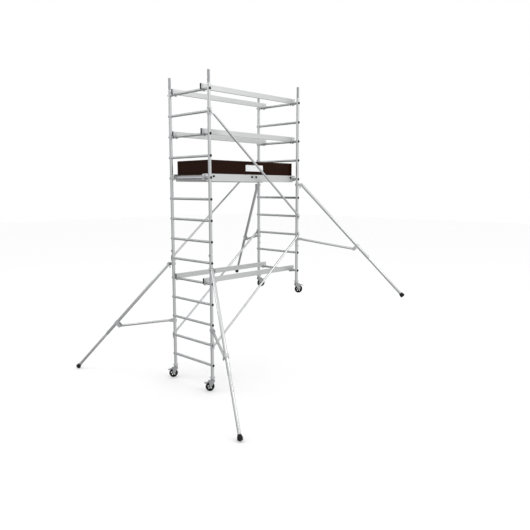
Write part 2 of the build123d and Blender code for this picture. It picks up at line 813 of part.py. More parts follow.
def corner_angle(side_x, side_y):
    """An angle in the inner corner of two toe boards."""
    x = board_half_length - board_thickness
    y = platform_width / 2 - board_thickness
    low_z = side_rail_top + corner_lift
    high_z = low_z + corner_height
    angle = block((x - corner_leg, y - clip_plate, low_z), (x, y, high_z))
    angle += block((x - clip_plate, y - corner_leg, low_z), (x, y, high_z))
    if side_y < 0:
        angle = mirror(angle, about=Plane.XZ)
    return angle if side_x > 0 else mirror(angle, about=Plane.YZ)


def toe_fittings():
    clips = [toe_clip(x, side) for x in clip_spots for side in (-1, 1)]
    angles = [corner_angle(x, y) for x in (-1, 1) for y in (-1, 1)]
    write("toe_board_clips", clips + angles)


# Outriggers, built with the post on Z, their own floor at zero and the leg running out along +X

def leg_line():
    """Slope and length of the leg: its tilted rubber foot just touches the floor."""
    reach = hypot(foot_dx, foot_dy)
    end_z = foot_r
    for _ in range(12):
        slope = atan2(upper_clamp - end_z, reach - clamp_out)
        rim = foot_r - foot_round
        end_z = foot_round * (1 - sin(slope)) + rim * cos(slope)
    return slope, hypot(reach - clamp_out, upper_clamp - end_z)


leg_slope, leg_length = leg_line()
leg_run = Vector(cos(leg_slope), 0, -sin(leg_slope))
leg_normal = Vector(sin(leg_slope), 0, cos(leg_slope))
collar_s = (upper_clamp - collar_z) / sin(leg_slope)


def on_leg(distance, lift=0.0):
    return Vector(clamp_out, 0, upper_clamp) + leg_run * distance + leg_normal * lift


def coupler(bore, half, pivot_out, filler_r):
    """A clamp ring on the Z axis with two cheeks to +X, its tightening bolt and its pivot bolt."""
    ring = rod(bore + clamp_wall, (0, 0, -half), (0, 0, half))
    shape = Pos(pivot_out / 2, 0) * Rectangle(pivot_out, 2 * half) + Pos(pivot_out, 0) * Circle(half)
    for low in (-cheek_gap - cheek, cheek_gap):
        ring += side_plate(shape, low, low + cheek)
    ring -= rod(bore, (0, 0, -half), (0, 0, half))
    outer = cheek_gap + cheek + bolt_end
    ring += rod(clamp_bolt_r, (clamp_bolt_out, -outer, 0), (clamp_bolt_out, outer, 0))
    ring += rod(pivot_bolt_r, (pivot_out, -outer, 0), (pivot_out, outer, 0))
    for low, high in ((-outer, -cheek_gap), (cheek_gap, outer)):
        ring += rod(bolt_end_r, (pivot_out, low, 0), (pivot_out, high, 0))
        ring += rod(clamp_nut_r, (clamp_bolt_out, low, 0), (clamp_bolt_out, high, 0))
    for side in (-1, 1):
        low, high = sorted((side * (filler_r + spacer_gap), side * cheek_gap))
        ring += rod(bolt_end_r, (pivot_out, low, 0), (pivot_out, high, 0))
    return ring


def coupler_places():
    """The couplers' places: upper and lower on the post, and the strut's one on the leg."""
    on_the_leg = Plane(origin=on_leg(collar_s), x_dir=-leg_normal, z_dir=leg_run)
    return Pos(0, 0, upper_clamp), Pos(0, 0, lower_clamp), on_the_leg.location


def coupler_set():
    upper, lower, on_the_leg = coupler_places()
    post_bore_r = post_r + clamp_gap
    return [
        upper * coupler(post_bore_r, clamp_half, clamp_out, leg_r),
        lower * coupler(post_bore_r, clamp_half, clamp_out, strut_r),
        on_the_leg * coupler(leg_r + seat_gap, collar_half, coupler_out, strut_r),
    ]


def lever():
    """The clamping lever on the upper coupler's tightening bolt, on its +Y side."""
    face = cheek_gap + cheek + bolt_end
    hub = rod(knob_r, (clamp_bolt_out, face, 0), (clamp_bolt_out, face + knob_length, 0))
    high_y, half = face + knob_length, lever_width / 2
    arm = block((clamp_bolt_out - half, high_y - lever_thickness, -lever_length),
                (clamp_bolt_out + half, high_y, 0))
    arm = fillet(arm.edges().filter_by(Axis.Y).sort_by(Axis.Z)[:2], lever_tip_r)
    return hub + arm


def leg_button():
    """The spring button that locks the telescopic leg, near the end of its outer tube."""
    base = on_leg(outer_leg - button_inset, leg_r)
    tip = on_leg(outer_leg - button_inset, leg_r + button_length)
    return rod(button_r, base, tip)


def outer_leg_tube():
    start, end = on_leg(leg_start), on_leg(outer_leg)
    leg = tube(leg_r, leg_wall, start, end)
    return leg - rod(pivot_bolt_r + seat_gap, (clamp_out, -cheek_gap, upper_clamp),
                     (clamp_out, cheek_gap, upper_clamp))


def strut():
    near = Vector(clamp_out, 0, lower_clamp)
    far = on_leg(collar_s, -coupler_out)
    run = (far - near).normalized()
    bar = tube(strut_r, strut_wall, (near - run * strut_end), (far + run * strut_end))
    for pivot in (near, far):
        bar -= rod(pivot_bolt_r + seat_gap, (pivot.X, -cheek_gap, pivot.Z), (pivot.X, cheek_gap, pivot.Z))
    return bar


def inner_leg_tube():
    start, end = on_leg(outer_leg - leg_overlap), on_leg(leg_length - foot_base)
    return tube(inner_leg_r, inner_leg_wall, start, end)


def foot():
    """A tapered rubber ferrule pushed over the end of the inner leg."""
    neck, half = foot_length - foot_base, foot_length / 2
    profile = Polygon((0, 0), (foot_top_r, 0), (foot_r, half), (foot_r, foot_length), (0, foot_length),
                      align=None)
    shape = revolve(Plane.XZ * profile, Axis.Z)
    shape = fillet(shape.edges().filter_by(GeomType.CIRCLE).sort_by(Axis.Z)[-1], foot_round)
    shape -= rod(inner_leg_r + weld_gap, (0, 0, 0), (0, 0, neck))
    return Plane(origin=on_leg(leg_length - foot_length), z_dir=leg_run).location * shape


def outriggers():
    tubes = [outer_leg_tube(), strut()]
    couplers, inner, ferrule = coupler_set(), inner_leg_tube(), foot()
    handle, button = Pos(0, 0, upper_clamp) * lever(), leg_button()
    for name, side_x, side_y, floor in corner_places():
        turn = degrees(atan2(side_y * foot_dy, side_x * foot_dx))
        place = Pos(side_x * half_x, side_y * half_y, floor) * Rot(0, 0, turn)
        write(f"outrigger_{name}_tubes", [place * piece for piece in tubes])
        write(f"outrigger_{name}_couplers", [place * piece for piece in (*couplers, button)])
        write(f"outrigger_{name}_lever", [place * handle])
        write(f"outrigger_{name}_inner_leg", [place * inner])
        write(f"outrigger_{name}_foot", [place * ferrule])


os.makedirs("parts", exist_ok=True)
plugs = ladder_frames()
castors()
caps = guard_rails()
write("end_plugs", plugs + caps)
brace_set()
platform()
toe_boards()
toe_fittings()
outriggers()
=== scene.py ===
import bpy
from math import cos, pi, radians, sin
from mathutils import Matrix, Vector
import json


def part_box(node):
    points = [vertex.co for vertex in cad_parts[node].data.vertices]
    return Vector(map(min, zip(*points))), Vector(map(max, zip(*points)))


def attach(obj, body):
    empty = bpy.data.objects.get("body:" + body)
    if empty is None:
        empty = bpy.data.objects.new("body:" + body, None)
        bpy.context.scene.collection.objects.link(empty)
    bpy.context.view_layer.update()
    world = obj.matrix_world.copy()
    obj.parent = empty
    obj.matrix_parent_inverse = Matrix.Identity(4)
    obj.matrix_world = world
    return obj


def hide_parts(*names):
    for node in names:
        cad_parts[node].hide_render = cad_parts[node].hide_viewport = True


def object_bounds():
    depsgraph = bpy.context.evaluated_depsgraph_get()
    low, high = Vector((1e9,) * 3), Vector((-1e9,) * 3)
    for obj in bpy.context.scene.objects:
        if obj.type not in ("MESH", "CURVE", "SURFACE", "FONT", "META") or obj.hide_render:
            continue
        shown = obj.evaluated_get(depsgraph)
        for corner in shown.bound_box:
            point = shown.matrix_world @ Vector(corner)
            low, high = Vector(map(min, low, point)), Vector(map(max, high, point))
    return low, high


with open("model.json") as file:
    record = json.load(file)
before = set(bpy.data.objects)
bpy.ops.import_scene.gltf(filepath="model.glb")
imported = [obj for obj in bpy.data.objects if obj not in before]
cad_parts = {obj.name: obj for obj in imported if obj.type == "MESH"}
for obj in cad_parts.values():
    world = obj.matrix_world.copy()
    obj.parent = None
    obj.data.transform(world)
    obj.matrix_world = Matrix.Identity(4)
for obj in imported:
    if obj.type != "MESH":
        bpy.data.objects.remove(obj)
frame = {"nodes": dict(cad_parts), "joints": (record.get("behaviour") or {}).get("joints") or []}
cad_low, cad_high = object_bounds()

# ---------------------------------------------------------------------------------------------
# Uprights: eight extruded aluminium posts, 44 mm across, mill finish. The die leaves faint lines
# along each tube, and handling leaves soft dull clouds, so the sheen is never quite even.
# ---------------------------------------------------------------------------------------------


def linear(code):
    """Linear colour of an sRGB hex value."""
    channels = [int(code[i:i + 2], 16) / 255 for i in (0, 2, 4)]
    return tuple(c / 12.92 if c <= 0.04045 else ((c + 0.055) / 1.055) ** 2.4 for c in channels) + (1.0,)


def add_node(tree, kind, settings=None, inputs=None):
    """Adds a node, with its settings, its input values, and a link from each socket given as a value."""
    node = tree.nodes.new(kind)
    for name, value in (settings or {}).items():
        setattr(node, name, value)
    for name, value in (inputs or {}).items():
        if isinstance(value, bpy.types.NodeSocket):
            tree.links.new(value, node.inputs[name])
        else:
            node.inputs[name].default_value = value
    return node


def surface(name, metallic, **sockets):
    """A new material, its node tree and its shader, with the constants that hold all over it."""
    material = bpy.data.materials.new(name)
    material.use_nodes = True
    tree = material.node_tree
    shader = tree.nodes["Principled BSDF"]
    shader.inputs["Metallic"].default_value = metallic
    for socket, value in sockets.items():
        shader.inputs[socket.replace("_", " ")].default_value = value
    return material, tree, shader


def finish(tree, shader, tint, tones, clouds, spread, sheens, height, strength, depth):
    """Colour between two tones, roughness between two sheens over a spread of clouds, and relief."""
    tone = add_node(tree, "ShaderNodeMix", {"data_type": "RGBA"},
                    {0: tint, 6: linear(tones[0]), 7: linear(tones[1])})
    sheen = add_node(tree, "ShaderNodeMapRange",
                     inputs={"Value": clouds, "From Min": spread[0], "From Max": spread[1],
                             "To Min": sheens[0], "To Max": sheens[1]})
    relief = add_node(tree, "ShaderNodeBump",
                      inputs={"Height": height, "Strength": strength, "Distance": depth})
    tree.links.new(tone.outputs[2], shader.inputs["Base Color"])
    tree.links.new(sheen.outputs["Result"], shader.inputs["Roughness"])
    tree.links.new(relief.outputs["Normal"], shader.inputs["Normal"])


mm = 0.001
soft_clouds = (0.30, 0.70)
hand_cloud = 143 * mm
line_depth = 0.4 * mm


def drawn_aluminium(name, tones, sheens, across, along, axis, coordinates="Object"):
    """Aluminium drawn along one axis: lines across it this many metres wide, and this long."""
    material, tree, shader = surface(name, 1.0)
    place = add_node(tree, "ShaderNodeTexCoord").outputs
    stretch = [1 / along if i == axis else 1 / across for i in range(3)]
    run = add_node(tree, "ShaderNodeMapping", inputs={"Vector": place[coordinates], "Scale": stretch})
    lines = add_node(tree, "ShaderNodeTexNoise",
                     inputs={"Vector": run.outputs["Vector"], "Scale": 1.0, "Detail": 3.0})
    clouds = add_node(tree, "ShaderNodeTexNoise",
                      inputs={"Vector": place["Object"], "Scale": 1 / hand_cloud, "Detail": 4.0,
                              "Roughness": 0.6})
    finish(tree, shader, lines.outputs["Fac"], tones, clouds.outputs["Fac"], soft_clouds, sheens,
           lines.outputs["Fac"], 0.12, line_depth)
    return material


def coat(material, *nodes):
    """Gives CAD nodes a finish."""
    for name in nodes:
        frame["nodes"][name].data.materials.clear()
        frame["nodes"][name].data.materials.append(material)


# Mill-finish extrusion: a soft satin sheen with faint lines along the tube and duller clouds. The
# lines are drawn 5 mm wide, coarser than the real ones, so that they show at all.
x_axis, y_axis, z_axis = range(3)
post_aluminium = drawn_aluminium("extruded_aluminium_posts", ("E4E5E6", "D4D6D7"), (0.30, 0.44),
                                 5 * mm, 600 * mm, z_axis)
coat(post_aluminium, "upper_uprights", "lower_uprights")

# ---------------------------------------------------------------------------------------------
# Rungs: fluted aluminium tubes, expanded into the posts. The flutes are grip for boots, and
# their crests are worn brighter than the grooves between them.
# ---------------------------------------------------------------------------------------------

# Fluted extrusion: duller than the posts, since boots scuff it, with 3 mm lines along the flutes.
rung_aluminium = drawn_aluminium("fluted_aluminium_rungs", ("D6D8D9", "BDBFC1"), (0.32, 0.50),
                                 3 * mm, 400 * mm, y_axis)
coat(rung_aluminium, "rungs_low_end", "rungs_high_end")

# ---------------------------------------------------------------------------------------------
# Plugs and caps: black nylon mouldings pushed into the open ends of rungs and guard rails. The
# mould is spark-eroded, which leaves a fine even grain and a low sheen.
# ---------------------------------------------------------------------------------------------


scuff_size = 33.3 * mm
scuff_spread = (0.35, 0.70)


def moulded(name, tones, sheens, grain, depth, **sockets):
    """A moulded plastic or rubber with a grain of this many metres, scuffed in broad clouds."""
    material, tree, shader = surface(name, 0.0, **sockets)
    place = add_node(tree, "ShaderNodeTexCoord").outputs["Object"]
    pits = add_node(tree, "ShaderNodeTexNoise",
                    inputs={"Vector": place, "Scale": 1 / grain, "Detail": 2.0})
    scuffs = add_node(tree, "ShaderNodeTexNoise",
                      inputs={"Vector": place, "Scale": 1 / scuff_size, "Detail": 6.0,
                              "Roughness": 0.65})
    worn = add_node(tree, "ShaderNodeMapRange",
                    inputs={"Value": scuffs.outputs["Fac"], "From Min": scuff_spread[0],
                            "From Max": scuff_spread[1]})
    finish(tree, shader, worn.outputs["Result"], tones, scuffs.outputs["Fac"], scuff_spread, sheens,
           pits.outputs["Fac"], 0.35, depth)
    return material


# Moulded nylon: near black, with a fine 1.2 mm spark grain and a low, uneven sheen.
black_nylon = moulded("moulded_black_nylon", ("09090A", "141415"), (0.46, 0.62), 1.2 * mm, 0.2 * mm,
                      IOR=1.53, Specular_IOR_Level=0.2)
coat(black_nylon, "end_plugs")

# ---------------------------------------------------------------------------------------------
# Spigots and locks: thinner drawn sleeves in the tops of the posts, a little darker from the
# drawing oil, and zinc-plated locking pins through the joints.
# ---------------------------------------------------------------------------------------------

# Cold-drawn tube: a greyer tone than the posts, with 4 mm lines from the drawing die.
spigot_aluminium = drawn_aluminium("drawn_aluminium_spigots", ("BCBEC0", "A6A8AB"), (0.30, 0.42),
                                   4 * mm, 300 * mm, z_axis)
coat(spigot_aluminium, "spigots")


zinc_cloud = 25 * mm


def zinc_plate(name, tones, sheens, patch):
    """Zinc-plated steel: broad patches of slightly different greys, this many metres across."""
    material, tree, shader = surface(name, 1.0)
    place = add_node(tree, "ShaderNodeTexCoord").outputs["Object"]
    patches = add_node(tree, "ShaderNodeTexVoronoi", inputs={"Vector": place, "Scale": 1 / patch})
    clouds = add_node(tree, "ShaderNodeTexNoise",
                      inputs={"Vector": place, "Scale": 1 / zinc_cloud, "Detail": 5.0})
    grey = add_node(tree, "ShaderNodeSeparateColor", inputs={"Color": patches.outputs["Color"]})
    finish(tree, shader, grey.outputs["Red"], tones, clouds.outputs["Fac"], soft_clouds, sheens,
           clouds.outputs["Fac"], 0.2, 0.5 * mm)
    return material


# Bright zinc plate: cool grey, with 6 mm patches of slightly different grey and small dull clouds.
bright_zinc = zinc_plate("bright_zinc_plated_steel", ("B4B6B7", "A9ABAC"), (0.28, 0.42), 6 * mm)
coat(bright_zinc, "spigot_locks")

# ---------------------------------------------------------------------------------------------
# Castors: 125 mm black rubber-tyred wheels in zinc-plated steel forks that trail behind their
# swivels, with cast collars round the posts and pressed brake pedals over the tyres.
# ---------------------------------------------------------------------------------------------

corners = ("low_front", "low_rear", "high_front", "high_rear")
joints = {joint["name"]: joint for joint in frame["joints"]}
wheel_r = 0.0625
tyre_bore = 0.0476
smooth_under = radians(35)
up = Vector((0, 0, 1))
# The nylon of the wheel centres is a dull black with a fine 1.2 mm spark grain.
wheel_nylon = moulded("moulded_nylon_wheel_centre", ("0C0C0D", "151516"), (0.50, 0.66), 1.2 * mm,
                      0.2 * mm, IOR=1.53, Specular_IOR_Level=0.15)
# The rubber of the tyres is duller still and greys where it is scuffed. Its 1.8 mm grain is drawn
# coarser than the real one, so that it shows.
tyre_rubber = moulded("moulded_black_rubber", ("0D0D0E", "1C1C1D"), (0.58, 0.80), 1.8 * mm, 0.4 * mm,
                      IOR=1.52, Specular_IOR_Level=0.3)


def start_clean():
    """Nothing is selected before a primitive is added."""
    if bpy.context.mode != "OBJECT":
        bpy.ops.object.mode_set(mode="OBJECT")
    bpy.ops.object.select_all(action="DESELECT")


def spin_profile(name, profile, steps, closed=True):
    """A shape turned about Z from a profile of (radius, height) points, in metres."""
    start_clean()
    bpy.ops.mesh.primitive_plane_add(size=1.0)
    ring = bpy.context.object
    ring.name = name
    count = len(profile)
    edges = [(i, (i + 1) % count) for i in range(count if closed else count - 1)]
    ring.data.clear_geometry()
    ring.data.from_pydata([(radius, 0.0, height) for radius, height in profile], edges, [])
    bpy.ops.object.mode_set(mode="EDIT")
    bpy.ops.mesh.select_all(action="SELECT")
    bpy.ops.mesh.spin(steps=steps, angle=2 * pi, center=(0, 0, 0), axis=(0, 0, 1))
    bpy.ops.mesh.select_all(action="SELECT")
    bpy.ops.mesh.remove_doubles(threshold=0.00002)
    bpy.ops.mesh.normals_make_consistent(inside=False)
    bpy.ops.object.mode_set(mode="OBJECT")
    bpy.ops.object.shade_smooth_by_angle(angle=smooth_under)
    return ring


def put(template, name, matrix):
    """A copy of a finished piece with its own mesh, set in its place by its mesh."""
    piece = template.copy()
    piece.data = template.data.copy()
    piece.name = name
    bpy.context.scene.collection.objects.link(piece)
    piece.data.transform(matrix)
    if matrix.determinant() < 0:
        piece.data.flip_normals()
    return piece


def throw_away(template):
    """Removes a pattern once its copies are in place."""
    bpy.data.objects.remove(template)


def stand(origin, *axes):
    """The place at this origin whose own three axes point these ways."""
    place = Matrix(axes).transposed().to_4x4()
    place.translation = origin
    return place


tyre_profile = [
    (tyre_bore, -0.0125), (0.0500, -0.0150), (0.0540, -0.0160), (0.0568, -0.0155), (0.0598, -0.0130),
    (0.0616, -0.0095), (0.0624, -0.0050), (wheel_r, 0.0), (0.0624, 0.0050), (0.0616, 0.0095),
    (0.0598, 0.0130), (0.0568, 0.0155), (0.0540, 0.0160), (0.0500, 0.0150), (tyre_bore, 0.0125),
]
tyre = spin_profile("tyre_pattern", tyre_profile, 64)
tyre.data.materials.append(tyre_rubber)
for corner in corners:
    centre = Vector(joints[f"castor_{corner}_spin"]["pos_m"])
    axle = Vector(joints[f"castor_{corner}_spin"]["axis"])
    piece = put(tyre, f"castor_{corner}_round_tyre",
                stand(centre, up, axle.cross(up), axle))
    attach(piece, f"castor_{corner}_wheel")
    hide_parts(f"castor_{corner}_tyre")
    coat(wheel_nylon, f"castor_{corner}_rim")
    coat(bright_zinc, f"castor_{corner}_fork")
throw_away(tyre)
coat(bright_zinc, "castor_low_front_pedal", "castor_low_rear_pedal")
coat(black_nylon, "castor_high_front_pedal", "castor_high_rear_pedal")


cast_cloud = 45 * mm


def cast_aluminium(name, tones, sheens, grain):
    """Pressure-cast aluminium, tumbled: a fine sandy skin with a grain of this many metres."""
    material, tree, shader = surface(name, 1.0)
    place = add_node(tree, "ShaderNodeTexCoord").outputs["Object"]
    sand = add_node(tree, "ShaderNodeTexNoise",
                    inputs={"Vector": place, "Scale": 1 / grain, "Detail": 3.0, "Roughness": 0.6})
    clouds = add_node(tree, "ShaderNodeTexNoise",
                      inputs={"Vector": place, "Scale": 1 / cast_cloud, "Detail": 4.0})
    finish(tree, shader, clouds.outputs["Fac"], tones, clouds.outputs["Fac"], soft_clouds, sheens,
           sand.outputs["Fac"], 0.4, 0.4 * mm)
    return material


# Tumbled casting: pale and sandy, with a 1.6 mm skin and no lines.
tumbled_casting = cast_aluminium("tumbled_aluminium_casting", ("E4E6E6", "D0D2D3"), (0.46, 0.62),
                                 1.6 * mm)
coat(tumbled_casting, "castor_stems")

# ---------------------------------------------------------------------------------------------
# Guard rails: pale rectangular aluminium extrusions that lie over the end rungs, held by cast
# claws that drop over each rung.
# ---------------------------------------------------------------------------------------------

# Etched extrusion: paler and more matt than the posts, with faint lines along the rail.
rail_aluminium = drawn_aluminium("pale_extruded_rail", ("E3E5E4", "D6D8D7"), (0.42, 0.55), 5 * mm,
                                 600 * mm, x_axis)
coat(rail_aluminium, "guard_rails")
coat(tumbled_casting, "rail_claws")

# ---------------------------------------------------------------------------------------------
# Braces: 30 mm tubes with their ends pressed flat, each riveted at both ends to a cast claw that
# grips the post at a rung.
# ---------------------------------------------------------------------------------------------

brace_r = 0.015
brace_wall = 0.002
brace_out = 0.0405            # brace centre outside the post centre
eye_past_rivet = 0.013
brace_rungs = ((-1, 13, 8), (-1, 2, 7), (1, 6, 11), (1, 2, 7))    # side, rung at each end
brace_rise = 5                # rung gaps
low_end_gaps = 13             # between the lowest and the highest rung of the low end
rung_low, rung_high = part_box("rungs_low_end")
rung_r = 0.017
rung_pitch = (rung_high.z - rung_low.z - 2 * rung_r) / low_end_gaps
low_post, high_post = (joints[f"castor_{c}_swivel"]["pos_m"] for c in ("low_front", "high_rear"))
bay = high_post[0] - low_post[0]
brace_length = Vector((bay, 0, brace_rise * rung_pitch)).length
same_place = 0.1 * mm
# Drawn tube, handled often: brighter than the posts, with long lines that follow the tube.
brace_aluminium = drawn_aluminium("drawn_aluminium_braces", ("E8E9EA", "D8DADB"), (0.22, 0.34),
                                  0.055, 0.15, y_axis, "UV")


def drawn_tube(name, radius, low, high):
    """An open skin of a tube along Z."""
    start_clean()
    bpy.ops.mesh.primitive_cylinder_add(vertices=40, radius=radius, depth=high - low,
                                        end_fill_type="NOTHING", location=(0, 0, (low + high) / 2))
    tube = bpy.context.object
    tube.name = name
    bpy.ops.object.transform_apply(location=True, rotation=True, scale=True)
    return tube


def give_wall(tube, wall):
    """Gives the active tube its wall, inwards, and eases its rims."""
    shell = tube.modifiers.new("wall", "SOLIDIFY")
    shell.thickness = wall
    shell.offset = -1.0
    rim = tube.modifiers.new("rim", "BEVEL")
    rim.width = wall / 5
    rim.segments = 2
    rim.limit_method = "ANGLE"
    rim.angle_limit = radians(60)
    bpy.ops.object.modifier_apply(modifier="wall")
    bpy.ops.object.modifier_apply(modifier="rim")
    bpy.ops.object.shade_smooth_by_angle(angle=radians(40))


# Press stations from the end of the tube: distance past the rivet, half width, half thickness.
pressed = ((-0.0130, 0.0040, 0.0034), (-0.0115, 0.0075, 0.0040), (-0.0070, 0.0112, 0.0040),
           (0.0, 0.0130, 0.0040), (0.0300, 0.0130, 0.0040), (0.0400, 0.0140, 0.0080),
           (0.0500, 0.0148, 0.0125), (0.0600, 0.0150, 0.0150))
brace = drawn_tube("brace_pattern", brace_r, -eye_past_rivet, brace_length + eye_past_rivet)
bpy.ops.object.mode_set(mode="EDIT")
for station, _, _ in pressed[1:]:
    for height in (station, brace_length - station):
        bpy.ops.mesh.select_all(action="SELECT")
        bpy.ops.mesh.bisect(plane_co=(0, 0, height), plane_no=(0, 0, 1))
for station, half_width, half_thickness in pressed[:-1]:
    for height in (station, brace_length - station):
        bpy.ops.mesh.select_all(action="DESELECT")
        bpy.ops.object.mode_set(mode="OBJECT")
        for vertex in brace.data.vertices:
            vertex.select = abs(vertex.co.z - height) < same_place
        bpy.ops.object.mode_set(mode="EDIT")
        bpy.ops.mesh.select_mode(type="VERT")
        bpy.ops.transform.resize(value=(half_width / brace_r, half_thickness / brace_r, 1),
                                 center_override=(0, 0, height))
bpy.ops.object.mode_set(mode="OBJECT")
give_wall(brace, brace_wall)
brace.data.materials.append(brace_aluminium)
across = Vector((0, 1, 0))
for number, (side, *end_rungs) in enumerate(brace_rungs, 1):
    heights = [rung_low.z + rung_r + (rung - 1) * rung_pitch for rung in end_rungs]
    rivet_y = side * (abs(low_post[1]) + brace_out)
    start = Vector((low_post[0], rivet_y, heights[0]))
    along = (Vector((high_post[0], rivet_y, heights[1])) - start).normalized()
    piece = put(brace, f"brace_{number}", stand(start, across.cross(along), across, along))
    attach(piece, "tower")
    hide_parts("brace_tubes")
throw_away(brace)
coat(tumbled_casting, "brace_claws")

# ---------------------------------------------------------------------------------------------
# Platform: two deep side rails joined by six cross rails under a deck of film-faced birch
# plywood, with a hinged hatch, cast hooks over the rungs and two wind latches.
# ---------------------------------------------------------------------------------------------

coat(rail_aluminium, "platform_side_rails")
# Etched extrusion, left rough: matt, with lines along the rail. Its pale tone is painted light: whiter
# than the side rails, so the cross rails look lit where shade falls on them under the deck.
painted_light_cross_aluminium = drawn_aluminium("extruded_cross_rails_painted_light", ("F0F1F1", "DEE0E0"), (0.55, 0.70),
                                  5 * mm, 400 * mm, y_axis)
coat(painted_light_cross_aluminium, "platform_cross_rails")
coat(tumbled_casting, "platform_hooks")
coat(bright_zinc, "wind_lock_front", "wind_lock_rear", "hatch_hinge_bases", "hatch_hinge_leaves")

# Deep nylon caps are snapped over the nuts outside the side rails.
nut_from_low_post = 0.1325
nut_from_high_post = 0.0685
middle_nuts_x = (-0.023, 0.059)
nuts_x = (low_post[0] + nut_from_low_post, *middle_nuts_x, high_post[0] - nut_from_high_post)
cap_profile = [(0.0, 0.0), (0.0150, 0.0), (0.0155, 0.0005), (0.0153, 0.0012), (0.0136, 0.0016),
               (0.0134, 0.0085), (0.0122, 0.0100), (0.0060, 0.0107), (0.0, 0.0108)]
cap = spin_profile("cap_pattern", cap_profile, 32, closed=False)
cap.data.materials.append(black_nylon)
bolt_low, bolt_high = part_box("platform_bolts")
rail_low, rail_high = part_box("platform_side_rails")
for number, x in enumerate(nuts_x, 1):
    for side, sign, face in (("front", -1, rail_low.y), ("rear", 1, rail_high.y)):
        outward = Vector((0, sign, 0))
        nut = Vector((x, face, (bolt_low.z + bolt_high.z) / 2))
        piece = put(cap, f"nut_cap_{side}_{number}", stand(nut, up.cross(outward), up, outward))
        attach(piece, "tower")
        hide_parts("platform_bolts")
throw_away(cap)


grain_long = 333 * mm
grain_wide = 16.7 * mm
film_scuff = 111 * mm
wave_per_scale = 20 / (2 * pi)    # bands in a metre of a Wave texture whose scale is 1


def film_faced(name, tones, sheens, mesh_pitch):
    """Birch plywood under a dark phenolic film. The grain shows faintly through the film."""
    material, tree, shader = surface(name, 0.0, IOR=1.55, Specular_IOR_Level=0.05)
    place = add_node(tree, "ShaderNodeTexCoord").outputs["Object"]
    run = add_node(tree, "ShaderNodeMapping",
                   inputs={"Vector": place, "Scale": (1 / grain_long, 1 / grain_wide, 1 / grain_wide)})
    grain = add_node(tree, "ShaderNodeTexNoise",
                     inputs={"Vector": run.outputs["Vector"], "Scale": 1.0, "Detail": 5.0,
                             "Distortion": 0.4})
    scuffs = add_node(tree, "ShaderNodeTexNoise",
                      inputs={"Vector": place, "Scale": 1 / film_scuff, "Detail": 6.0,
                              "Roughness": 0.65})
    height = grain.outputs["Fac"]
    depth = 0.2 * mm
    if mesh_pitch:
        weave = []
        for bands_direction in "XY":
            bands = add_node(tree, "ShaderNodeTexWave",
                             {"wave_type": "BANDS", "bands_direction": bands_direction},
                             {"Vector": place, "Scale": 1 / mesh_pitch / wave_per_scale})
            weave.append(bands.outputs["Fac"])
        wires = add_node(tree, "ShaderNodeMath", {"operation": "MULTIPLY"}, {0: weave[0], 1: weave[1]})
        height = wires.outputs["Value"]
        depth = 0.6 * mm
    finish(tree, shader, grain.outputs["Fac"], tones, scuffs.outputs["Fac"], scuff_spread, sheens,
           height, 0.5, depth)
    return material


# Phenolic film over birch: dark brown with faint grain. The anti-slip mesh is pressed 6 mm apart.
deck_plywood = film_faced("mesh_pressed_birch_plywood", ("2C1F18", "3E2C22"), (0.45, 0.62), 6 * mm)
coat(deck_plywood, "platform_deck", "hatch_panel")

# ---------------------------------------------------------------------------------------------
# Toe boards: smooth film-faced plywood, four boards held upright by zinc-plated plates and
# angles, with a blank white polyester label on the front board.
# ---------------------------------------------------------------------------------------------

# The same film left smooth: darker, with a low sheen that scuffs make uneven.
board_plywood = film_faced("smooth_film_faced_plywood", ("1A0A04", "2A1206"), (0.40, 0.54), None)
coat(board_plywood, "toe_boards")
coat(bright_zinc, "toe_board_clips")

label_length = 0.340
label_height = 0.087
label_thickness = 0.0006
label_corner = 0.006
label_x = 0.020
label_above_board_foot = 0.0885
board_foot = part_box("toe_boards")[0].z
label_middle = Vector((label_x, rail_low.y - label_thickness / 2, board_foot + label_above_board_foot))
start_clean()
bpy.ops.mesh.primitive_cube_add(size=1.0, location=label_middle,
                                scale=(label_length, label_thickness, label_height))
label = bpy.context.object
label.name = "blank_label"
bpy.ops.object.transform_apply(location=True, rotation=True, scale=True)
bpy.ops.object.mode_set(mode="EDIT")
bpy.ops.mesh.select_all(action="DESELECT")
bpy.ops.object.mode_set(mode="OBJECT")
for edge in label.data.edges:
    a, b = (label.data.vertices[i].co for i in edge.vertices)
    edge.select = abs(a.y - b.y) > label_thickness / 2
bpy.ops.object.mode_set(mode="EDIT")
bpy.ops.mesh.select_mode(type="EDGE")
bpy.ops.mesh.bevel(offset=label_corner, segments=4)
bpy.ops.object.mode_set(mode="OBJECT")
# Printed-film label without print: white, smooth and faintly glossy.
label_film = moulded("white_polyester_label", ("E6E8E9", "F2F3F3"), (0.30, 0.42), 2 * mm, 0.05 * mm,
                     IOR=1.57)
label.data.materials.append(label_film)
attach(label, "tower")

# ---------------------------------------------------------------------------------------------
# Outriggers: telescopic aluminium legs clamped to the posts by cast couplers with black levers,
# steadied by struts and standing on black rubber ferrules.
# ---------------------------------------------------------------------------------------------

leg_r = 0.0225
leg_wall = 0.0024
inner_leg_r = 0.0198
strut_r = 0.0175
leg_start = -0.012
outer_leg = 1.5
inner_leg_start = 1.12
pivot_out = 0.070
strut_drop = 0.828            # lower clamp under the upper one
strut_hold = 0.912            # the strut's clamp on the leg, under the upper clamp
strut_under = 0.068
strut_end = 0.014
foot_length = 0.060
foot_socket = 0.046
# Drawn tube, slid in and out: the brightest of the aluminium, with long lines along the leg.
leg_aluminium = drawn_aluminium("drawn_aluminium_legs", ("E8E9EA", "D8DADB"), (0.22, 0.34),
                                0.035, 0.2, y_axis, "UV")

outer = drawn_tube("outer_leg_pattern", leg_r, leg_start, outer_leg)
give_wall(outer, leg_wall)
outer.data.materials.append(leg_aluminium)

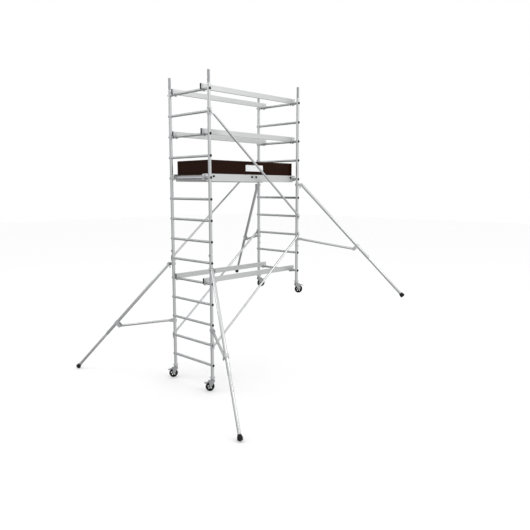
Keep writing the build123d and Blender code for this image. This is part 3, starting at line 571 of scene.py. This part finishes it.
# The ferrule is moulded with three shallow grip rings round its foot.
foot_profile = [
    (0.0, foot_socket), (0.0199, foot_socket), (0.0199, 0.0), (0.0240, 0.0), (0.0250, 0.0015),
    (0.0258, 0.0080), (0.0272, 0.0140), (0.0300, 0.0220), (0.0322, 0.0280), (0.0330, 0.0320),
    (0.0330, 0.0350), (0.0320, 0.0360), (0.0320, 0.0375), (0.0330, 0.0385), (0.0330, 0.0415),
    (0.0320, 0.0425), (0.0320, 0.0440), (0.0330, 0.0450), (0.0330, 0.0480), (0.0320, 0.0490),
    (0.0320, 0.0505), (0.0329, 0.0515), (0.0326, 0.0550), (0.0312, 0.0582), (0.0285, 0.0598),
    (0.0270, 0.0600), (0.0120, 0.0600), (0.0110, 0.0592), (0.0, 0.0590),
]
ferrule = spin_profile("ferrule_pattern", foot_profile, 48, closed=False)
ferrule.data.materials.append(tyre_rubber)

# The clamping lever: a domed hub on the tightening bolt and a tapered arm that hangs from it.
lever_bolt_out = 0.037
lever_face = 0.034
hub_profile = [(0.0, 0.0), (0.0108, 0.0), (0.0110, 0.0008), (0.0110, 0.0100), (0.0103, 0.0122),
               (0.0082, 0.0136), (0.0050, 0.0140), (0.0042, 0.0128), (0.0, 0.0126)]
hub = spin_profile("lever_hub", hub_profile, 32, closed=False)
start_clean()
arm_middle = (0, -0.031, 0.0085)
arm_size = (0.015, 0.054, 0.010)
arm_tip = (0, -0.058, 0.0110)
arm_taper = (0.72, 1, 0.62)
arm_ease = 0.0028
near_tip_y = -0.05
bpy.ops.mesh.primitive_cube_add(size=1.0, location=arm_middle, scale=arm_size)
arm = bpy.context.object
bpy.ops.object.transform_apply(location=True, rotation=True, scale=True)
for vertex in arm.data.vertices:
    vertex.select = vertex.co.y < near_tip_y
for polygon in arm.data.polygons:
    polygon.select = polygon.center.y < near_tip_y
bpy.ops.object.mode_set(mode="EDIT")
bpy.ops.mesh.select_mode(type="FACE")
bpy.ops.transform.resize(value=arm_taper, center_override=arm_tip)
bpy.ops.mesh.select_all(action="SELECT")
bpy.ops.mesh.bevel(offset=arm_ease, segments=3)
bpy.ops.object.mode_set(mode="OBJECT")
bpy.ops.object.shade_smooth_by_angle(angle=smooth_under)
arm.select_set(True)
hub.select_set(True)
bpy.context.view_layer.objects.active = hub
bpy.ops.object.join()
hub.data.materials.append(black_nylon)

for corner in corners:
    outrigger = f"outrigger_{corner}"
    run = Vector(joints[f"{outrigger}_extend"]["axis"])
    away = Vector((run.x, run.y, 0)).normalized()
    side_way = up.cross(away)
    normal = run.cross(side_way)
    post = Vector(joints[f"{outrigger}_swing"]["pos_m"])
    pivot = post + away * pivot_out
    foot_node = frame["nodes"][f"{outrigger}_foot"]
    leg_length = max((vertex.co - pivot).dot(run) for vertex in foot_node.data.vertices)

    leg = put(outer, f"{outrigger}_leg", stand(pivot, side_way, normal, run))
    near = pivot - up * strut_drop
    far = pivot - run * (strut_hold / run.z) - normal * strut_under
    reach = far - near
    strut_run = reach.normalized()
    strut = drawn_tube(f"{outrigger}_strut", strut_r, -strut_end, reach.length + strut_end)
    give_wall(strut, leg_wall)
    strut.data.transform(stand(near, side_way, strut_run.cross(side_way), strut_run))
    strut.data.materials.append(leg_aluminium)
    handle_place = post + away * lever_bolt_out + side_way * lever_face
    handle = put(hub, f"{outrigger}_clamp_lever",
                 stand(handle_place, up.cross(side_way), up, side_way))
    for piece, node, finish in ((leg, "tubes", "aluminium_tube"), (strut, "tubes", "aluminium_tube"),
                                (handle, "lever", "black_plastic")):
        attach(piece, outrigger)
        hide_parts(f"{outrigger}_{node}")

    inner = drawn_tube(f"{outrigger}_inner_tube", inner_leg_r, inner_leg_start,
                       leg_length - foot_length + foot_socket)
    give_wall(inner, leg_wall)
    inner.data.transform(stand(pivot, side_way, normal, run))
    inner.data.materials.append(leg_aluminium)
    foot_place = stand(pivot + run * (leg_length - foot_length), side_way, normal, run)
    foot = put(ferrule, f"{outrigger}_ferrule", foot_place)
    for piece, node, finish in ((inner, "inner_leg", "aluminium_tube"), (foot, "foot", "black_rubber")):
        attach(piece, f"{outrigger}_inner")
        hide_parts(f"{outrigger}_{node}")
    coat(tumbled_casting, f"{outrigger}_couplers")
for pattern in (outer, ferrule, hub):
    throw_away(pattern)

# ---------------------------------------------------------------------------------------------
# Studio: a plain pale floor in a white room, one large soft light high on the right and a weak
# one behind on the left. Metal mirrors the room, which is brighter overhead and on the right.
# ---------------------------------------------------------------------------------------------

floor_size = 80.0
white = (1.0, 1.0, 1.0, 1.0)
mirrored_lean = (0.06, -0.20, 0.30)
mirrored_middle = 0.62
bpy.context.scene.view_settings.view_transform = "Standard"
start_clean()
bpy.ops.mesh.primitive_plane_add(size=floor_size, location=(0, 0, 0))
floor = bpy.context.object
floor.name = "floor"
# Matt white paint, with no gloss: only the soft shade under the feet shows on it.
floor_paint = surface("matt_floor_paint", 0.0, Base_Color=linear("FEFEFE"), Roughness=0.9)[0]
floor.data.materials.append(floor_paint)
floor.visible_glossy = False

world = bpy.data.worlds.new("studio")
bpy.context.scene.world = world
world.use_nodes = True
sky = world.node_tree
plain = add_node(sky, "ShaderNodeBackground", inputs={"Color": white, "Strength": 1.0})
direction = add_node(sky, "ShaderNodeTexCoord").outputs["Generated"]
lean = add_node(sky, "ShaderNodeVectorMath", {"operation": "DOT_PRODUCT"},
                {0: direction, 1: mirrored_lean})
level = add_node(sky, "ShaderNodeMath", {"operation": "ADD"},
                 {0: lean.outputs["Value"], 1: mirrored_middle})
mirrored = add_node(sky, "ShaderNodeBackground",
                    inputs={"Color": white, "Strength": level.outputs["Value"]})
ray = add_node(sky, "ShaderNodeLightPath")
both = add_node(sky, "ShaderNodeMixShader",
                inputs={0: ray.outputs["Is Glossy Ray"], 1: plain.outputs["Background"],
                        2: mirrored.outputs["Background"]})
sky.links.new(both.outputs["Shader"], sky.nodes["World Output"].inputs["Surface"])

studio_middle = (cad_low + cad_high) / 2
light_size = 4.0
for name, place, power in (("key_light", (3.0, -9.0, 8.0), 130.0),
                           ("back_light", (-6.0, 6.0, 7.0), 100.0)):
    lamp = bpy.data.lights.new(name, "AREA")
    lamp.size = light_size
    lamp.energy = power
    holder = bpy.data.objects.new(name, lamp)
    bpy.context.scene.collection.objects.link(holder)
    holder.location = place
    holder.rotation_euler = (studio_middle - Vector(place)).to_track_quat("-Z", "Y").to_euler()

camera_place = Vector((-5.6004, -5.9649, 2.7271))
camera_turn = radians(46.0529)
camera_dip = radians(7.8279)
camera = bpy.data.objects.new("camera", bpy.data.cameras.new("camera"))
bpy.context.scene.collection.objects.link(camera)
camera.data.lens = 37.63
camera.data.sensor_width = 36.0
camera.data.clip_end = 200.0
camera.location = camera_place
looking = Vector((sin(camera_turn) * cos(camera_dip),
                  cos(camera_turn) * cos(camera_dip),
                  -sin(camera_dip)))
camera.rotation_euler = looking.to_track_quat("-Z", "Y").to_euler()
bpy.context.scene.camera = camera

import json
bpy.context.view_layer.update()
